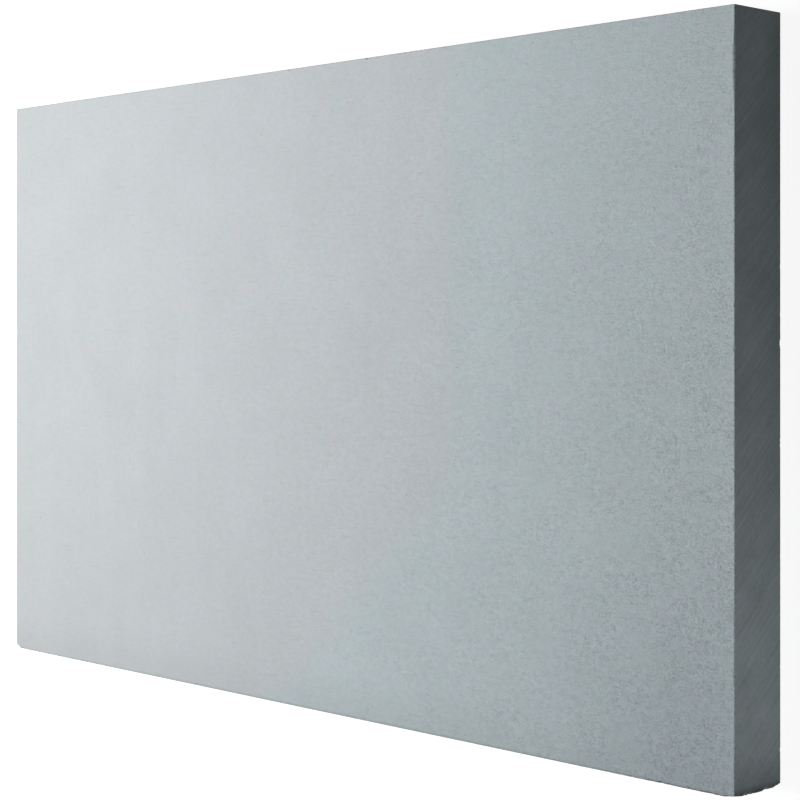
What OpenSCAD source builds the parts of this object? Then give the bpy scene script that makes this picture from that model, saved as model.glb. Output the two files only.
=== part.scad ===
// Calcium silicate insulation board: one pressed, autoclaved and sawn slab.
// +X runs along the board, +Y across it, +Z up through its thickness.
// The origin is the centre of the underside. Sizes are in millimetres.

/* [Board] */
// Length of the board
board_length = 1000; // [300:5:1250]
// Width of the board
board_width = 610; // [200:5:1220]
// Thickness of the board
board_thickness = 60; // [25:1:100]

/* [Arrises] */
// Width of the rubbed strip along every arris, across each of its two faces
arris_wear = 0.7; // [0.2:0.1:2]

/* [Broken corners] */
// How far the break in the upper corner at -X, -Y runs along the length
top_break_length = 9; // [3:0.5:25]
// How far the same break runs across the width
top_break_width = 4.5; // [2:0.5:15]
// How far the same break runs down the end
top_break_drop = 12; // [3:0.5:20]
// How far the break in the upper corner at +X, -Y runs along the length
near_break_length = 11; // [3:0.5:25]
// How far the same break runs across the width
near_break_width = 1.7; // [1:0.1:15]
// How far the same break runs down the end
near_break_drop = 13; // [3:0.5:20]
// How far the break in the lower corner at +X, -Y runs along the length
low_break_length = 7; // [3:0.5:25]
// How far the same break runs across the width
low_break_width = 3; // [1:0.5:15]
// How far the same break runs up the end
low_break_rise = 8; // [2:0.5:20]

/* [Flakes knocked off the arrises] */
// Length of the flake missing from the lower arris of the +X end
end_flake_length = 8; // [4:0.5:20]
// Depth of that flake below the rubbed arris
end_flake_depth = 0.8; // [0.5:0.1:4]
// Distance of that flake from the middle of the width, towards +Y
end_flake_offset = 44; // [-80:1:80]
// Length of the deeper flake missing from the upper arris at +Y
deep_flake_length = 5; // [3:0.5:15]
// Depth of that deeper flake below the rubbed arris
deep_flake_depth = 0.9; // [0.5:0.1:4]
// Distance of that deeper flake from the middle of the length, towards +X
deep_flake_offset = 85; // [40:1:120]
// Length of the shallower flake missing from the same arris
thin_flake_length = 7; // [3:0.5:15]
// Depth of that shallower flake below the rubbed arris
thin_flake_depth = 0.6; // [0.5:0.1:4]
// Distance of that shallower flake from the middle of the length, towards -X
thin_flake_offset = 24; // [20:1:120]

/* [Hidden] */
half_length = board_length / 2;
half_width = board_width / 2;
// How far below the sharp arris the middle of the rubbed strip lies
strip_depth = arris_wear / sqrt(2);
// How much wider a cutting block is than the corner that it cuts
cut_margin = 5;

// Outline of a section of the board, centred, with its four corners rubbed off
module worn_section(width, height) {
    x = width / 2;
    y = height / 2;
    polygon([
        [x - arris_wear, -y], [x, -y + arris_wear],
        [x, y - arris_wear], [x - arris_wear, y],
        [-x + arris_wear, y], [-x, y - arris_wear],
        [-x, -y + arris_wear], [-x + arris_wear, -y]
    ]);
}

// The whole slab: its plan, side and end outlines extruded and intersected,
// so that each of the twelve arrises has the same rubbed strip
module sawn_slab() {
    translate([0, 0, board_thickness / 2])
        intersection() {
            linear_extrude(board_thickness, center = true)
                worn_section(board_length, board_width);
            rotate([90, 0, 0])
                linear_extrude(board_width, center = true)
                    worn_section(board_length, board_thickness);
            rotate([90, 0, 90])
                linear_extrude(board_length, center = true)
                    worn_section(board_width, board_thickness);
        }
}

// What breaks off a corner whose board lies towards -X, -Y and -Z: all that is
// past the plane that cuts the three arrises at these distances from the corner
module corner_waste(along_x, along_y, along_z) {
    normal = [1 / along_x, 1 / along_y, 1 / along_z];
    plane_depth = 1 / norm(normal);
    block = 2 * (max(along_x, along_y, along_z) + cut_margin);
    rotate([0, acos(normal.z / norm(normal)), atan2(normal.y, normal.x)])
        translate([-block / 2, -block / 2, -plane_depth])
            cube(block);
}

// A shell-shaped flake off an arris that runs along Y, with the board towards
// -X and -Z: a ball that leaves a dish of this length and depth in the rubbed strip
module flake_waste(length, depth) {
    ball_radius = (pow(length / 2, 2) + pow(depth, 2)) / (2 * depth);
    rise = (ball_radius - depth - strip_depth) / sqrt(2);
    translate([rise, 0, rise])
        sphere(r = ball_radius, $fn = 48);
}

// Upper corner at -X, -Y
module top_corner_break() {
    translate([-half_length, -half_width, board_thickness])
        mirror([1, 0, 0])
            mirror([0, 1, 0])
                corner_waste(top_break_length, top_break_width, top_break_drop);
}

// Upper corner at +X, -Y
module near_corner_break() {
    translate([half_length, -half_width, board_thickness])
        mirror([0, 1, 0])
            corner_waste(near_break_length, near_break_width, near_break_drop);
}

// Lower corner at +X, -Y
module low_corner_break() {
    translate([half_length, -half_width, 0])
        mirror([0, 1, 0])
            mirror([0, 0, 1])
                corner_waste(low_break_length, low_break_width, low_break_rise);
}

// Lower arris of the +X end
module end_flake() {
    translate([half_length, end_flake_offset, 0])
        mirror([0, 0, 1])
            flake_waste(end_flake_length, end_flake_depth);
}

// Upper arris at +Y
module side_flake(offset, length, depth) {
    translate([offset, half_width, board_thickness])
        rotate([0, 0, 90])
            flake_waste(length, depth);
}

module board() {
    color("#b6bdbf")
        difference() {
            sawn_slab();
            top_corner_break();
            near_corner_break();
            low_corner_break();
            end_flake();
            side_flake(deep_flake_offset, deep_flake_length, deep_flake_depth);
            side_flake(-thin_flake_offset, thin_flake_length, thin_flake_depth);
        }
}

board();
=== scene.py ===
import math
import random

import bmesh
import bpy
from mathutils import Matrix, Vector, noise
from mathutils.kdtree import KDTree


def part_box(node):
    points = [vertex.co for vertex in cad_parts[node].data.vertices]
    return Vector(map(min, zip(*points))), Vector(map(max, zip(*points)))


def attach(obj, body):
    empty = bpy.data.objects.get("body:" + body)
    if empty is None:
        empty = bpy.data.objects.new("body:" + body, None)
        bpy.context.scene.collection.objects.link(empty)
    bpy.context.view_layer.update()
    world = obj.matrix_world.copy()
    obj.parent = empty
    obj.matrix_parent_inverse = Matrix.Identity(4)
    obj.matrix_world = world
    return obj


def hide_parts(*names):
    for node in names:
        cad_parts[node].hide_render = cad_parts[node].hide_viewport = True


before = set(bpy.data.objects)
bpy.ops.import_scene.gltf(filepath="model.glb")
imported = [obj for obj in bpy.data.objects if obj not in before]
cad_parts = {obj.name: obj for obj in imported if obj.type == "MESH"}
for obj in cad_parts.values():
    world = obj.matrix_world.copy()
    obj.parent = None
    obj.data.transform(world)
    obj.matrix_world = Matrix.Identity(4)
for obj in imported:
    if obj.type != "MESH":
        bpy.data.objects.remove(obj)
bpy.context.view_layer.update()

mm = 0.001
boardLow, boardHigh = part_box("board")
boardSize = boardHigh - boardLow
boardMiddle = (boardHigh + boardLow) / 2
print("frame loaded, board", [round(side / mm) for side in boardSize], "mm")


# the board's shape

board = dict(
    arrisWear=0.7 * mm,         # radius that handling has rubbed onto every arris
    wearSegments=2,
    facet=1.2 * mm,             # size of the facets beside an arris
    longestEdge=1.5,            # in facets: an edge longer than this is split
    fineBands=(1.0 * mm, 1.0 * mm, 1.5 * mm, 1.7 * mm),  # rows beside each arris, where it crumbles
    coarseBands=(3 * mm, 6 * mm, 12 * mm, 24 * mm),      # rows further in, each twice as coarse
    bandSlack=0.01 * mm,        # a point this little past a row still counts as in it
    cutSlack=0.001 * mm,        # a cut this close to a point goes through it
    fineRound=1.2,              # in reaches of a break: the mesh stays fine this far round its corner
    crumblyRun=230 * mm,        # how far from the +X end the edge that it stood on has crumbled
    rubbedDepth=0.12 * mm,      # how deep the rubbed arrises are pitted all along
    rubbedGrain=2.0 * mm,
    breakDepth=0.7 * mm,        # how rough the broken corners are
    breakGrain=2.6 * mm,
    lumps=(0.6, 2.0, 3),        # exponent, lacunarity and octaves of both kinds of roughness
    dishRoughness=0.5,          # how rough a flake leaves the stone, as a share of the flake's depth
    sharpestFold=math.radians(105),  # faces that turn by more than this are evened out
    foldPasses=20,
    squareOn=0.95,              # a face that points this squarely outwards is sanded or sawn
)
fineReach = sum(board["fineBands"])

# a corner is named by the sides it lies on; reach is how far the break runs along X, Y and Z
brokenCorners = [
    dict(corner=(-1, -1, 1), reach=(9 * mm, 4.5 * mm, 12 * mm)),
    dict(corner=(1, -1, 1), reach=(11 * mm, 1.7 * mm, 13 * mm)),
    dict(corner=(1, -1, -1), reach=(7 * mm, 3 * mm, 8 * mm)),
]

# an arris is named the same way, with 0 for the axis that it runs along; at is measured from its middle
flakes = [
    dict(arris=(1, 0, -1), at=44 * mm, length=8 * mm, depth=0.8 * mm),
    dict(arris=(0, 1, 1), at=85 * mm, length=5 * mm, depth=0.9 * mm),
    dict(arris=(0, 1, 1), at=-24 * mm, length=7 * mm, depth=0.6 * mm),
    dict(arris=(0, 1, 1), at=129 * mm, length=3 * mm, depth=0.4 * mm),
    dict(arris=(0, 1, 1), at=150 * mm, length=3 * mm, depth=0.4 * mm),
    dict(arris=(1, 0, 1), at=40 * mm, length=5 * mm, depth=0.6 * mm),
    dict(arris=(1, 0, 1), at=262 * mm, length=64 * mm, depth=0.7 * mm),
    dict(arris=(1, 0, 1), at=180 * mm, length=20 * mm, depth=0.35 * mm),
    dict(arris=(1, 0, 1), at=-184 * mm, length=80 * mm, depth=0.30 * mm),
    dict(arris=(1, 0, 1), at=-211 * mm, length=18 * mm, depth=0.50 * mm),
]

everyArris = [(x, y, z) for x in (-1, 0, 1) for y in (-1, 0, 1) for z in (-1, 0, 1)
              if (x, y, z).count(0) == 1]
footArrises = [(0, -1, -1), (0, -1, 1)]     # the two long ones of the edge that it stood on
allAlong = max(boardSize)                   # a run that takes in any arris whole

# crumbs missing along the arrises: each run is measured from the +X, +Y or upper end,
# and a crumb's depth is a share of its length
crumbs = [
    dict(arrises=everyArris, run=allAlong, perMetre=22,
         length=(1.5 * mm, 3.5 * mm), depth=(0.10, 0.18)),
    dict(arrises=footArrises, run=allAlong, perMetre=60,
         length=(1.5 * mm, 3.5 * mm), depth=(0.08, 0.14)),
    dict(arrises=footArrises, run=board["crumblyRun"], perMetre=220,
         length=(1.0 * mm, 2.8 * mm), depth=(0.14, 0.28)),
    dict(arrises=footArrises, run=90 * mm, perMetre=420,
         length=(1.0 * mm, 3.0 * mm), depth=(0.30, 0.45)),
    dict(arrises=[(1, -1, 0)], run=allAlong, perMetre=220,
         length=(4.0 * mm, 8.0 * mm), depth=(0.18, 0.30)),
]
crumbSeed = 4

# the board's finishes, in the order of its material slots
sandedSlot, endSlot, edgeSlot, brokenSlot = range(4)


def boardAt(axis, share):
    # the place on this axis at a share of the board's size from its middle
    return boardMiddle[axis] + share * boardSize[axis]


def sidePoint(sides):
    # the middle of the board, moved out to the named sides
    return Vector(boardAt(axis, sides[axis] / 2) for axis in range(3))


def fromSides(point):
    # how far a point lies inside the nearer side on each axis, nearest first
    return sorted(min(point[i] - boardLow[i], boardHigh[i] - point[i]) for i in range(3))


def fromArris(point):
    # how far a point of the surface lies from the nearest arris
    return fromSides(point)[1]


def facetSize(point):
    # how fine the mesh is at this point of the surface
    size = board["facet"]
    if point.y < boardLow.y + fineReach and point.x > boardHigh.x - board["crumblyRun"]:
        size /= 2
    for broken in brokenCorners:
        if (point - sidePoint(broken["corner"])).length < board["fineRound"] * max(broken["reach"]):
            return size
    reach = fineReach
    for width in board["coarseBands"]:
        if fromArris(point) < reach + board["bandSlack"]:
            return size
        size *= 2
        reach += width
    return size


def cutRows(bm, axis):
    # cuts the slab into rows: narrow ones beside its two ends on this axis, even ones between
    size = boardSize[axis]
    coarsest = board["facet"] * 2 ** (len(board["coarseBands"]) + 1)
    inset = 0
    levels = []
    for width in board["fineBands"] + board["coarseBands"]:
        inset += width
        if inset < size / 2 - width / 2:
            levels += [inset, size - inset]
            last = inset
    spans = round((size - 2 * last) / coarsest)
    levels += [last + (size - 2 * last) * i / spans for i in range(1, spans)]
    for level in levels:
        point = boardLow.copy()
        point[axis] += level
        normal = Vector((0, 0, 0))
        normal[axis] = 1
        bmesh.ops.bisect_plane(bm, geom=bm.verts[:] + bm.edges[:] + bm.faces[:], dist=board["cutSlack"],
                               plane_co=point, plane_no=normal)


def sawnSlab():
    # a cube at the board's size with its arrises rubbed round, and a mesh that is fine beside them
    bm = bmesh.new()
    place = Matrix.Translation(boardMiddle) @ Matrix.Diagonal((*boardSize, 1.0))
    bmesh.ops.create_cube(bm, size=1.0, matrix=place)
    bmesh.ops.bevel(bm, geom=bm.edges[:], offset=board["arrisWear"], offset_type="OFFSET",
                    segments=board["wearSegments"], profile=0.5, affect="EDGES", material=-1,
                    clamp_overlap=True)
    for axis in range(3):
        cutRows(bm, axis)
    while True:
        long = []
        for edge in bm.edges:
            middle = (edge.verts[0].co + edge.verts[1].co) / 2
            if edge.calc_length() > board["longestEdge"] * facetSize(middle):
                long.append(edge)
        if not long:
            break
        bmesh.ops.subdivide_edges(bm, edges=long, cuts=1, use_grid_fill=True)
    bmesh.ops.triangulate(bm, faces=bm.faces[:])
    return bm


def roughness(point, grain, depth):
    # 0 to depth, in lumps the size of grain
    return depth * (0.5 + 0.5 * noise.fractal(point / grain, *board["lumps"]))


def rubArrises(bm):
    # pits every arris a little, less and less with the distance from it
    bm.normal_update()
    for vert in bm.verts:
        nearness = 1 - fromArris(vert.co) / fineReach
        if nearness > 0:
            depth = board["rubbedDepth"] * nearness ** 2
            vert.co -= vert.normal * max(0, roughness(vert.co, board["rubbedGrain"], depth))


def breakCorner(bm, corner, reach):
    # moves all that lies past the plane of the break in to it, and roughens that plane inside its rim
    tip = sidePoint(corner)
    outward = Vector(corner[i] / reach[i] for i in range(3)).normalized()
    planeLevel = outward.dot(tip) - 1 / Vector(1 / r for r in reach).length
    moved = set()
    for vert in bm.verts:
        past = outward.dot(vert.co) - planeLevel
        if past > 0:
            vert.co -= outward * past
            fromRim = fromSides(vert.co)[0]
            rough = roughness(vert.co, board["breakGrain"], board["breakDepth"])
            vert.co -= outward * max(0, min(rough, fromRim))
            moved.add(vert)
    return moved


def flakeOff(verts, tree, arris, at, length, depth):
    # a shell-shaped dish of this length and depth, cut by a ball that sits outside the arris
    radius = ((length / 2) ** 2 + depth ** 2) / (2 * depth)
    outward = Vector(arris).normalized()
    strip = board["arrisWear"] * (math.sqrt(2) - 1)     # what the wear has taken off the sharp arris
    centre = sidePoint(arris) + outward * max(0, radius - depth - strip)
    centre[arris.index(0)] += at
    moved = set()
    for _, index, _ in tree.find_range(centre, radius + depth):
        vert = verts[index]
        spoke = vert.co - centre
        rough = board["dishRoughness"] * depth * noise.noise(vert.co / board["rubbedGrain"])
        if spoke.length < radius + rough:
            vert.co = centre + spoke.normalized() * (radius + rough)
            moved.add(vert)
    return moved


def crumbleArrises(verts, tree):
    rng = random.Random(crumbSeed)
    moved = set()
    for row in crumbs:
        for arris in row["arrises"]:
            whole = boardSize[arris.index(0)]
            run = min(whole, row["run"])
            for _ in range(round(run * row["perMetre"])):
                length = rng.uniform(*row["length"])
                depth = length * rng.uniform(*row["depth"])
                at = whole / 2 - rng.uniform(0, run)
                moved |= flakeOff(verts, tree, arris, at, length, depth)
    return moved


def relaxFolds(bm):
    # evens out the spots where crumbs that met have folded the mesh over
    for _ in range(board["foldPasses"]):
        bm.normal_update()
        folded = {vert for edge in bm.edges if edge.calc_face_angle() > board["sharpestFold"]
                  for vert in edge.verts}
        if not folded:
            break
        around = {vert for fold in folded for edge in fold.link_edges for vert in edge.verts}
        bmesh.ops.smooth_vert(bm, verts=list(around), factor=0.5, use_axis_x=True, use_axis_y=True,
                              use_axis_z=True)


def finishFaces(bm, broken):
    # gives each face the slot of its finish, by whether it is broken and by the side it points to
    for face in bm.faces:
        normal = [abs(part) for part in face.normal]
        if any(vert in broken for vert in face.verts) or max(normal) < board["squareOn"]:
            face.material_index = brokenSlot
        else:
            face.material_index = (endSlot, edgeSlot, sandedSlot)[normal.index(max(normal))]


def buildBoard():
    bm = sawnSlab()
    print("slab:", len(bm.verts), "points,", len(bm.faces), "faces")
    rubArrises(bm)
    broken = set()
    for corner in brokenCorners:
        broken |= breakCorner(bm, **corner)
    verts = list(bm.verts)
    tree = KDTree(len(verts))
    for index, vert in enumerate(verts):
        tree.insert(vert.co, index)
    tree.balance()
    broken |= crumbleArrises(verts, tree)
    for flake in flakes:
        broken |= flakeOff(verts, tree, **flake)
    relaxFolds(bm)
    finishFaces(bm, broken)
    mesh = bpy.data.meshes.new("boardBody")
    bm.to_mesh(mesh)
    bm.free()
    body = bpy.data.objects.new("boardBody", mesh)
    bpy.context.scene.collection.objects.link(body)
    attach(body, "root")
    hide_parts("board")
    print("board:", len(broken), "points broken away")
    return body


# materials

def hexToLinear(code):
    # an sRGB hex colour as the linear RGBA that the shaders take
    values = [int(code[i:i + 2], 16) / 255 for i in (1, 3, 5)]
    return [v / 12.92 if v <= 0.04045 else ((v + 0.055) / 1.055) ** 2.4 for v in values] + [1.0]


def addNode(tree, kind, inputs=None, **settings):
    # adds a node, sets its properties, then sets its inputs or links them to other nodes' outputs
    node = tree.nodes.new("ShaderNode" + kind)
    for name, value in settings.items():
        setattr(node, name, value)
    for name, value in (inputs or {}).items():
        if isinstance(value, bpy.types.NodeSocket):
            tree.links.new(value, node.inputs[name])
        else:
            node.inputs[name].default_value = value
    return node


def newMaterial(name):
    material = bpy.data.materials.new(name)
    material.use_nodes = True
    material.node_tree.nodes.clear()
    return material, material.node_tree


# what every finish of the stone shares
stone = dict(
    roughness=0.92,
    specular=0.25,
    granule=1.5 * mm,           # pressed granules: really finer, drawn coarse enough to show
    clump=4.2 * mm,             # and the clumps that they lie in
    heightSpan=(-0.45, 0.15),   # how low and high granules and clumps lie, taken together
    shadeSpan=(-2.1, 1.1),      # what that does to the shade: hollows darken more than crests lighten
    patch=32 * mm,              # patches where the granules or the shade differ
    greener="#fcfffd",          # tints that it drifts between
    bluer="#fffdff",
    tintDrift=13 * mm,
    tintSpan=(0.35, 0.65),      # noise at which it is all greener and all bluer
)
noiseSpan = (0.3, 0.7)          # a noise texture seldom goes past these


def noiseShade(tree, vector, scale, swing, detail=2.0):
    # noise as a factor round 1, which goes up and down by about the swing
    pattern = addNode(tree, "TexNoise", {"Vector": vector, "Scale": scale, "Detail": detail})
    return addNode(tree, "MapRange", {"Value": pattern.outputs["Fac"], "From Min": noiseSpan[0],
                                      "From Max": noiseSpan[1], "To Min": 1 - swing,
                                      "To Max": 1 + swing}, clamp=False).outputs[0]


def multiplied(tree, *factors):
    total = factors[0]
    for factor in factors[1:]:
        total = addNode(tree, "Math", {0: total, 1: factor}, operation="MULTIPLY").outputs[0]
    return total


def added(tree, *terms):
    total = terms[0]
    for term in terms[1:]:
        total = addNode(tree, "Math", {0: total, 1: term}, operation="ADD").outputs[0]
    return total


def granules(tree, coords, contrast, sharpness):
    # speckle with dark tails as a shade, and the same granules and clumps as a height
    fine = addNode(tree, "TexNoise", {"Vector": coords, "Scale": 1 / stone["granule"],
                                      "Detail": 2.0, "Roughness": 0.7}).outputs["Fac"]
    clumps = addNode(tree, "TexNoise", {"Vector": coords, "Scale": 1 / stone["clump"],
                                        "Detail": 2.0, "Roughness": 0.8}).outputs["Fac"]
    centred = [addNode(tree, "Math", {0: noiseFac, 1: 0.5}, operation="SUBTRACT").outputs[0]
               for noiseFac in (fine, clumps)]
    pattern = added(tree, multiplied(tree, centred[0], sharpness), centred[1])
    lowest, highest = stone["heightSpan"]
    darkest, lightest = stone["shadeSpan"]
    lifted = addNode(tree, "MapRange", {"Value": pattern, "From Min": lowest, "From Max": highest,
                                        "To Min": darkest, "To Max": lightest}).outputs[0]
    return added(tree, 1.0, multiplied(tree, lifted, contrast)), pattern


def paintedFootShade(tree, coords, layers):
    # painted shade, darker towards the side that the board stood on: each layer has a strength there and a
    # reach
    side = addNode(tree, "SeparateXYZ", {0: coords}).outputs["Y"]
    return multiplied(tree, *(
        addNode(tree, "MapRange", {"Value": side, "From Min": boardLow.y, "From Max": boardLow.y + reach,
                                   "To Min": 1 - strength, "To Max": 1.0},
                interpolation_type="SMOOTHSTEP").outputs[0]
        for strength, reach in layers))


def lessened(tree, shade, amount):
    # a shade brought back towards 1, so that only this amount of it is left
    lost = addNode(tree, "Math", {0: 1.0, 1: shade}, operation="SUBTRACT").outputs[0]
    return addNode(tree, "Math", {0: 1.0, 1: multiplied(tree, lost, amount)},
                   operation="SUBTRACT").outputs[0]


def drifting(tree, coords, colour):
    # a colour that drifts a little between the greener and the bluer tint
    drift = addNode(tree, "TexNoise", {"Vector": coords, "Scale": 1 / stone["tintDrift"],
                                       "Detail": 3.0}).outputs["Fac"]
    allGreener, allBluer = stone["tintSpan"]
    drift = addNode(tree, "MapRange", {"Value": drift, "From Min": allGreener,
                                       "From Max": allBluer}).outputs[0]
    tint = addNode(tree, "MixRGB", {"Fac": drift, "Color1": hexToLinear(stone["greener"]),
                                    "Color2": hexToLinear(stone["bluer"])}).outputs[0]
    return addNode(tree, "MixRGB", {"Fac": 1.0, "Color1": colour, "Color2": tint},
                   blend_type="MULTIPLY").outputs[0]


def finishStone(tree, colour, shade, height, relief):
    # dull stone: colour times shade, with the height pressed in as relief
    tinted = addNode(tree, "MixRGB", {"Fac": 1.0, "Color1": colour, "Color2": shade},
                     blend_type="MULTIPLY").outputs[0]
    bump = addNode(tree, "Bump", {"Strength": 1.0, "Distance": relief, "Height": height}).outputs[0]
    shader = addNode(tree, "BsdfPrincipled", {"Base Color": tinted, "Roughness": stone["roughness"],
                                              "Specular IOR Level": stone["specular"],
                                              "Normal": bump}).outputs[0]
    addNode(tree, "OutputMaterial", {"Surface": shader})


# the sanded faces; a place along or across the board is a share of its size, from its middle
sanded = dict(
    warm="#bfc4c7",             # pale, cool grey, a little warmer towards the -X end: a painted tint, warm where the light is strong
    middle="#c0c6cb",
    cool="#bcc8cc",
    coolRun=(0.15, 0.23),       # where along the board it turns from the middle colour to the cool one, a painted tint of cool shade
    leanFrom=-0.13,             # from here to the side that it stood on, cool reaches further along
    leanReach=0.24,             # and at that side by this much
    shadedCorner="#b2bec4",        # painted shade: the darkest and bluest corner, at +X on the side that it stood on
    shadedCornerFrom=(0.25, -0.10),
    granulePower=2.8,           # how late along the board the granules come out
    granulesAcross=0.37,        # share of that which is left at +Y
    patchSwing=0.6,
    granuleContrast=(0.026, 0.15),   # each from where they stand out least to where they do most
    granuleSharpness=(0.5, 1.7),
    granuleHeight=(0.6, 2.0),
    drawnOut=0.62,              # the sander draws them out along the board
    relief=0.5 * mm,
    mottle=70 * mm,             # slow change of shade where the slurry drained unevenly
    mottleSwing=0.02,
    bandWidth=32 * mm,          # faint bands across the board, from the sander's feed
    bandStretch=0.04,
    bandSwing=0.006,
    scoreLength=24 * mm,        # scores that the sanding left along the board
    scoreWidth=1.1 * mm,        # really finer, drawn wide enough to show
    scoreSpan=(0.72, 0.80),     # noise at which a score begins and is at its darkest
    scoreShade=0.91,
    pitSpacing=24 * mm,
    pitRadius=0.9 * mm,
    pitShade=0.65,
    rubbedReach=25 * mm,        # paler beside the +X end, where it was handled
    rubbedShade=1.05,
    rimShadeStrength=0.22,             # painted shade: how dark it is along the very edge that it stood on
    rimShadeReach=3.5 * mm,
    rimShadeRun=(-0.45, -0.05),   # along here that comes up from its least to its full strength
    rimShadeLeast=0.35,
    footShade=((0.06, 50 * mm),),    # painted shade towards that edge: its strength there and its reach
)


def sandedGranules(tree, coords, along):
    # the granules stand out more towards the +X end and the side that the board stood on: partly coarser
    # stone, partly painted shade for the relief that grazing light picks out there
    nearEnd = addNode(tree, "MapRange", {"Value": along.outputs["X"], "From Min": boardLow.x,
                                         "From Max": boardHigh.x}).outputs[0]
    nearEnd = addNode(tree, "Math", {0: nearEnd, 1: sanded["granulePower"]}, operation="POWER").outputs[0]
    nearSide = addNode(tree, "MapRange", {"Value": along.outputs["Y"], "From Min": boardHigh.y,
                                          "From Max": boardLow.y, "To Min": sanded["granulesAcross"],
                                          "To Max": 1.0}).outputs[0]
    patch = noiseShade(tree, coords, 1 / stone["patch"], sanded["patchSwing"])
    coarse = multiplied(tree, nearEnd, nearSide, patch)
    contrast, sharpness, raised = (
        addNode(tree, "MapRange", {"Value": value, "To Min": least, "To Max": most}).outputs[0]
        for value, (least, most) in ((coarse, sanded["granuleContrast"]),
                                     (nearEnd, sanded["granuleSharpness"]),
                                     (coarse, sanded["granuleHeight"])))
    drawnOut = addNode(tree, "Mapping", {"Vector": coords, "Scale": (sanded["drawnOut"], 1, 1)}).outputs[0]
    shade, pattern = granules(tree, drawnOut, contrast, sharpness)
    return shade, multiplied(tree, pattern, raised)


def sandingMarks(tree, coords):
    # faint bands across the board, scores along it and a few pits
    across = addNode(tree, "Mapping", {"Vector": coords, "Scale": (1, sanded["bandStretch"], 1)}).outputs[0]
    bands = noiseShade(tree, across, 1 / sanded["bandWidth"], sanded["bandSwing"])
    stretched = addNode(tree, "Mapping", {"Vector": coords,
                                          "Scale": (1 / sanded["scoreLength"],
                                                    1 / sanded["scoreWidth"], 1)}).outputs[0]
    scored = addNode(tree, "TexNoise", {"Vector": stretched, "Scale": 1.0, "Detail": 0.0}).outputs["Fac"]
    begins, darkest = sanded["scoreSpan"]
    scores = addNode(tree, "MapRange", {"Value": scored, "From Min": begins, "From Max": darkest,
                                        "To Min": 1.0, "To Max": sanded["scoreShade"]}).outputs[0]
    cells = addNode(tree, "TexVoronoi", {"Vector": coords, "Scale": 1 / sanded["pitSpacing"]})
    pitEdge = sanded["pitRadius"] / sanded["pitSpacing"]
    pits = addNode(tree, "MapRange", {"Value": cells.outputs["Distance"], "From Min": 0.5 * pitEdge,
                                      "From Max": pitEdge, "To Min": sanded["pitShade"],
                                      "To Max": 1.0}).outputs[0]
    return multiplied(tree, bands, scores, pits)


def sandedRims(tree, coords, along):
    # paler beside the +X end, and darker along the edge that it stood on by painted shade, least towards
    # the -X end
    rubbed = addNode(tree, "MapRange", {"Value": along.outputs["X"],
                                        "From Min": boardHigh.x - sanded["rubbedReach"],
                                        "From Max": boardHigh.x, "To Min": 1.0,
                                        "To Max": sanded["rubbedShade"]}).outputs[0]
    rimShade = paintedFootShade(tree, coords, ((sanded["rimShadeStrength"], sanded["rimShadeReach"]),))
    start, end = sanded["rimShadeRun"]
    strength = addNode(tree, "MapRange", {"Value": along.outputs["X"], "From Min": boardAt(0, start),
                                          "From Max": boardAt(0, end), "To Min": sanded["rimShadeLeast"],
                                          "To Max": 1.0}).outputs[0]
    return multiplied(tree, rubbed, lessened(tree, rimShade, strength))


def sandedColour(tree, along):
    # warm, middle and cool along the board, a painted tint of warm light and cool shade, and painted shade
    # darkest in the low corner
    coolStart, coolEnd = (boardAt(0, share) for share in sanded["coolRun"])
    steady = addNode(tree, "MapRange", {"Value": along.outputs["X"], "From Min": boardLow.x,
                                        "From Max": coolStart}).outputs[0]
    warm = addNode(tree, "MixRGB", {"Fac": steady, "Color1": hexToLinear(sanded["warm"]),
                                    "Color2": hexToLinear(sanded["middle"])}).outputs[0]
    further = addNode(tree, "MapRange", {"Value": along.outputs["Y"],
                                         "From Min": boardAt(1, sanded["leanFrom"]),
                                         "From Max": boardLow.y, "To Min": 0.0,
                                         "To Max": sanded["leanReach"] * boardSize.x}).outputs[0]
    cooler = addNode(tree, "MapRange", {"Value": added(tree, along.outputs["X"], further),
                                        "From Min": coolStart, "From Max": coolEnd},
                     interpolation_type="SMOOTHSTEP").outputs[0]
    colour = addNode(tree, "MixRGB", {"Fac": cooler, "Color1": warm,
                                      "Color2": hexToLinear(sanded["cool"])}).outputs[0]
    cornerX, cornerY = sanded["shadedCornerFrom"]
    shadedCorner = multiplied(tree, *(
        addNode(tree, "MapRange", {"Value": along.outputs[axis], "From Min": start, "From Max": end},
                interpolation_type="SMOOTHSTEP").outputs[0]
        for axis, start, end in (("X", boardAt(0, cornerX), boardHigh.x),
                                 ("Y", boardAt(1, cornerY), boardLow.y))))
    return addNode(tree, "MixRGB", {"Fac": shadedCorner, "Color1": colour,
                                    "Color2": hexToLinear(sanded["shadedCorner"])}).outputs[0]


def sandedFace():
    # calcium silicate, pressed and sanded: even and matt, with fine granules and faint scores
    material, tree = newMaterial("sandedCalciumSilicate")
    coords = addNode(tree, "TexCoord").outputs["Object"]
    along = addNode(tree, "SeparateXYZ", {0: coords})
    shade, height = sandedGranules(tree, coords, along)
    mottle = noiseShade(tree, coords, 1 / sanded["mottle"], sanded["mottleSwing"], 4.0)
    shade = multiplied(tree, shade, mottle, sandingMarks(tree, coords), sandedRims(tree, coords, along),
                       paintedFootShade(tree, coords, sanded["footShade"]))
    colour = drifting(tree, coords, sandedColour(tree, along))
    finishStone(tree, colour, shade, height, sanded["relief"])
    return material


# the ends and long edges
sawn = dict(
    colour="#abb5b6",           # the same stone, darkened by painted shade for the shadows that the saw marks hold
    markSpacing=2.4 * mm,
    markRun=60 * mm,
    slant=math.radians(42),     # how far the marks lean away from the thickness
    markShades=(0.905, 1.07),
    granuleContrast=0.07,
    granuleSharpness=0.4,
    patchSwing=0.075,
    relief=0.25 * mm,
    # painted shade towards the edge that it stood on: each layer's strength there and its reach
    endFootShade=((0.24, 110 * mm), (0.36, 40 * mm), (0.70, 8 * mm)),
    edgeFootShade=((0.08, 50 * mm), (0.15, 8 * mm)),
)


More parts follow.
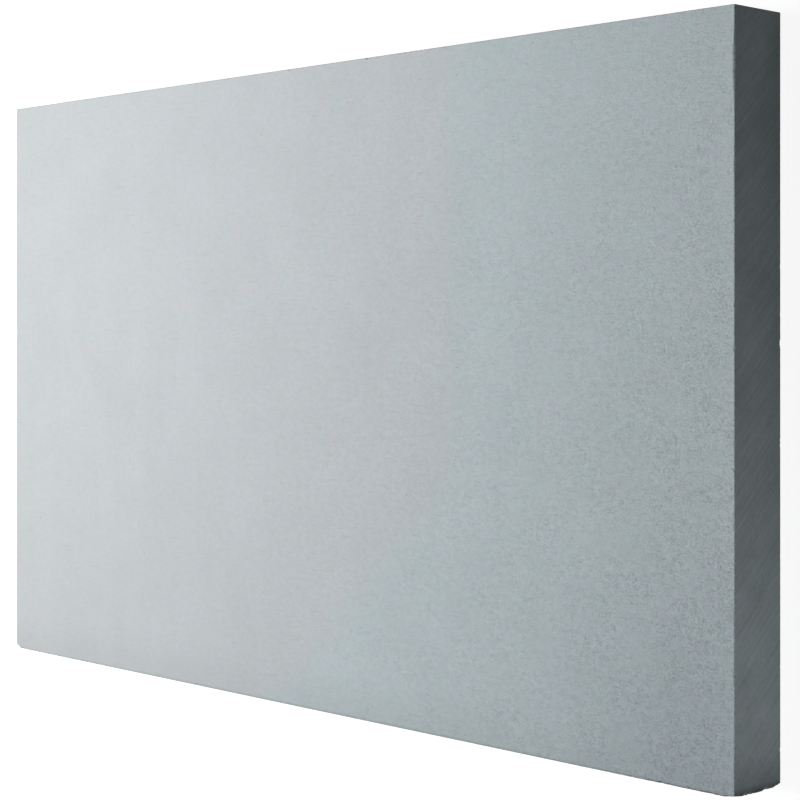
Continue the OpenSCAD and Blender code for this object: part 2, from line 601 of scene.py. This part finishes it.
def sawnFace(name, turn, footShade):
    # calcium silicate cut by a saw: the blade's marks lie slanting across the thickness
    material, tree = newMaterial(name)
    coords = addNode(tree, "TexCoord").outputs["Object"]
    turned = addNode(tree, "Mapping", {"Vector": coords, "Rotation": turn}).outputs[0]
    finer = 1 / sawn["markSpacing"]
    stretched = addNode(tree, "Mapping", {"Vector": turned,
                                          "Scale": (finer, finer, 1 / sawn["markRun"])}).outputs[0]
    marks = addNode(tree, "TexNoise", {"Vector": stretched, "Scale": 1.0, "Detail": 2.0}).outputs["Fac"]
    darkest, lightest = sawn["markShades"]
    markShade = addNode(tree, "MapRange", {"Value": marks, "From Min": noiseSpan[0],
                                           "From Max": noiseSpan[1], "To Min": darkest,
                                           "To Max": lightest}).outputs[0]
    shade, pattern = granules(tree, coords, sawn["granuleContrast"], sawn["granuleSharpness"])
    mottle = noiseShade(tree, coords, 1 / stone["patch"], sawn["patchSwing"])
    shade = multiplied(tree, shade, markShade, mottle, paintedFootShade(tree, coords, footShade))
    colour = drifting(tree, coords, hexToLinear(sawn["colour"]))
    finishStone(tree, colour, shade, added(tree, pattern, marks), sawn["relief"])
    return material


# where the stone has broken off or been rubbed
crumbly = dict(
    colour="#a9b1b3",           # darker, because its pores show
    granuleContrast=0.2,
    granuleSharpness=1.0,
    relief=0.6 * mm,
    # painted shade towards the edge that it stood on: each layer's strength there and its reach
    footShade=((0.24, 110 * mm), (0.36, 40 * mm), (0.40, 8 * mm)),
    darkestRun=40 * mm,        # this near to the +X end all of that painted shade is there
    lighterRun=200 * mm,        # and further off than this
    lighterShare=0.45,          # only this share of it
)


def brokenStone():
    # calcium silicate broken or rubbed away: open, crumbly and duller than the sanded face
    material, tree = newMaterial("brokenCalciumSilicate")
    coords = addNode(tree, "TexCoord").outputs["Object"]
    shade, pattern = granules(tree, coords, crumbly["granuleContrast"], crumbly["granuleSharpness"])
    length = addNode(tree, "SeparateXYZ", {0: coords}).outputs["X"]
    # painted shade towards that edge, fullest near the +X end
    strength = addNode(tree, "MapRange", {"Value": length, "From Min": boardHigh.x - crumbly["lighterRun"],
                                          "From Max": boardHigh.x - crumbly["darkestRun"],
                                          "To Min": crumbly["lighterShare"], "To Max": 1.0}).outputs[0]
    footShade = lessened(tree, paintedFootShade(tree, coords, crumbly["footShade"]), strength)
    shade = multiplied(tree, shade, footShade)
    finishStone(tree, hexToLinear(crumbly["colour"]), shade, pattern, crumbly["relief"])
    return material


boardBody = buildBoard()
for material in (sandedFace(),
                 sawnFace("sawnEndCalciumSilicate", (-sawn["slant"], 0, 0), sawn["endFootShade"]),
                 sawnFace("sawnEdgeCalciumSilicate", (0, sawn["slant"], 0), sawn["edgeFootShade"]),
                 brokenStone()):
    boardBody.data.materials.append(material)
print("materials set")


# floor, light and camera

studio = dict(
    floorSize=30.0,
    floorBounce=0.18,           # how much light the floor sends back to the board
    shadowKeeps=0.25,           # share of the floor's look that light and shadow set
    litLevel=0.4,               # how bright the lamps make a white floor beside the board
    whiteFrom=0.9,              # metres from the board's middle where the floor turns to plain white
    whiteTo=1.8,
    ambient=(0.030, 0.032, 0.035),
)


def whiteForTheView(tree):
    # 1 for rays that see the background: from the camera, in gloss and through glass
    path = addNode(tree, "LightPath")
    sees = path.outputs["Is Camera Ray"]
    for kind in ("Is Glossy Ray", "Is Transmission Ray"):
        sees = addNode(tree, "Math", {0: sees, 1: path.outputs[kind]}, operation="MAXIMUM").outputs[0]
    return sees


def paleFloor():
    # plain pale studio floor: it keeps the board's shadow, fades to white further out
    # and is clear from below
    material, tree = newMaterial("paleFloor")
    coords = addNode(tree, "TexCoord").outputs["Object"]
    distance = addNode(tree, "VectorMath", {0: coords}, operation="LENGTH").outputs["Value"]
    keeps = studio["shadowKeeps"]
    glow = addNode(tree, "MapRange", {"Value": distance, "From Min": studio["whiteFrom"],
                                      "From Max": studio["whiteTo"],
                                      "To Min": 1 - keeps * studio["litLevel"], "To Max": 1.0},
                   interpolation_type="SMOOTHSTEP").outputs[0]
    white = addNode(tree, "Emission", {"Color": (1, 1, 1, 1), "Strength": glow}).outputs[0]
    shaded = addNode(tree, "BsdfDiffuse", {"Color": (keeps, keeps, keeps, 1)}).outputs[0]
    seen = addNode(tree, "AddShader", {0: white, 1: shaded}).outputs[0]
    bounce = studio["floorBounce"]
    plain = addNode(tree, "BsdfDiffuse", {"Color": (bounce, bounce, bounce, 1)}).outputs[0]
    upper = addNode(tree, "MixShader", {"Fac": whiteForTheView(tree), 1: plain, 2: seen}).outputs[0]
    below = addNode(tree, "NewGeometry").outputs["Backfacing"]
    clear = addNode(tree, "BsdfTransparent").outputs[0]
    surface = addNode(tree, "MixShader", {"Fac": below, 1: upper, 2: clear}).outputs[0]
    addNode(tree, "OutputMaterial", {"Surface": surface})
    return material


def buildFloor():
    bm = bmesh.new()
    bmesh.ops.create_grid(bm, x_segments=1, y_segments=1, size=studio["floorSize"] / 2,
                          matrix=Matrix.Translation((boardMiddle.x, boardMiddle.y, boardLow.z)))
    mesh = bpy.data.meshes.new("floor")
    bm.to_mesh(mesh)
    bm.free()
    floor = bpy.data.objects.new("floor", mesh)
    bpy.context.scene.collection.objects.link(floor)
    mesh.materials.append(paleFloor())


def buildWorld():
    world = bpy.data.worlds.new("studio")
    bpy.context.scene.world = world
    world.use_nodes = True
    tree = world.node_tree
    tree.nodes.clear()
    dim = addNode(tree, "Background", {"Color": (*studio["ambient"], 1)}).outputs[0]
    white = addNode(tree, "Background", {"Color": (1, 1, 1, 1)}).outputs[0]
    both = addNode(tree, "MixShader", {"Fac": whiteForTheView(tree), 1: dim, 2: white}).outputs[0]
    addNode(tree, "OutputWorld", {"Surface": both})


# softboxes, placed and aimed from the middle of the board's upper face
softboxes = [
    dict(name="keySoftbox", place=(-0.62, 0.04, 1.72), aim=(-1.0, 1.0, 0.0), size=(1.2, 1.2), watts=41.4,
         colour=(1.0, 0.985, 0.965)),
    dict(name="endFill", place=(0.98, -0.90, 0.10), aim=(0.5, -0.2, 0.0), size=(0.4, 0.3), watts=3.1,
         colour=(0.97, 1.0, 1.03)),
    dict(name="sideFill", place=(-0.3, 1.5, 0.30), aim=(-0.1, 0.3, 0.0), size=(1.2, 0.4), watts=4.0,
         colour=(1.0, 1.0, 1.0)),
    dict(name="lowSideFill", place=(-0.5, -1.5, 0.30), aim=(-0.2, -0.3, 0.0), size=(1.0, 0.4), watts=3.0,
         colour=(1.0, 1.0, 1.0)),
    dict(name="farEndFill", place=(-1.8, -0.1, 0.30), aim=(-0.5, 0.0, 0.0), size=(0.8, 0.4), watts=2.5,
         colour=(1.0, 1.0, 1.0)),
    # this one is under the floor and narrower than the board, so it lights only the underside
    dict(name="undersideFill", place=(0.0, 0.0, -0.60), aim=(0.0, 0.0, 0.0), size=(0.9, 0.5), watts=2.5,
         colour=(1.0, 1.0, 1.0)),
]


def buildLights():
    origin = Vector((boardMiddle.x, boardMiddle.y, boardHigh.z))
    for box in softboxes:
        light = bpy.data.lights.new(box["name"], "AREA")
        light.shape = "RECTANGLE"
        light.size, light.size_y = box["size"]
        light.energy = box["watts"]
        light.color = box["colour"]
        lamp = bpy.data.objects.new(box["name"], light)
        bpy.context.scene.collection.objects.link(lamp)
        lamp.location = origin + Vector(box["place"])
        shine = Vector(box["aim"]) - Vector(box["place"])
        lamp.rotation_euler = shine.to_track_quat("-Z", "Y").to_euler()
        lamp.visible_camera = False
        if lamp.location.z < boardLow.z:
            # it reaches the board alone, and the floor doesn't stand in its way
            onlyBoard = bpy.data.collections.new(box["name"] + "Reach")
            onlyBoard.objects.link(boardBody)
            lamp.light_linking.receiver_collection = onlyBoard
            lamp.light_linking.blocker_collection = onlyBoard


camera = dict(
    lean=math.radians(46.246),  # from straight above towards the +X end
    lookAt=(0.1289, 0.0548),    # where the line of sight meets the upper face, from its middle
    distance=1.776,
    lens=88.493,                # focal length in millimetres
    shift=-0.0877,
)


def buildCamera():
    data = bpy.data.cameras.new("camera")
    data.lens = camera["lens"]
    data.shift_y = camera["shift"]
    eye = bpy.data.objects.new("camera", data)
    bpy.context.scene.collection.objects.link(eye)
    target = Vector((boardMiddle.x + camera["lookAt"][0], boardMiddle.y + camera["lookAt"][1], boardHigh.z))
    back = Vector((math.sin(camera["lean"]), 0, math.cos(camera["lean"])))
    eye.location = target + back * camera["distance"]
    eye.rotation_euler = (0, camera["lean"], 0)
    bpy.context.scene.camera = eye


buildFloor()
buildWorld()
buildLights()
buildCamera()
bpy.context.scene.view_settings.view_transform = "Standard"
print("stage, lights and camera set")
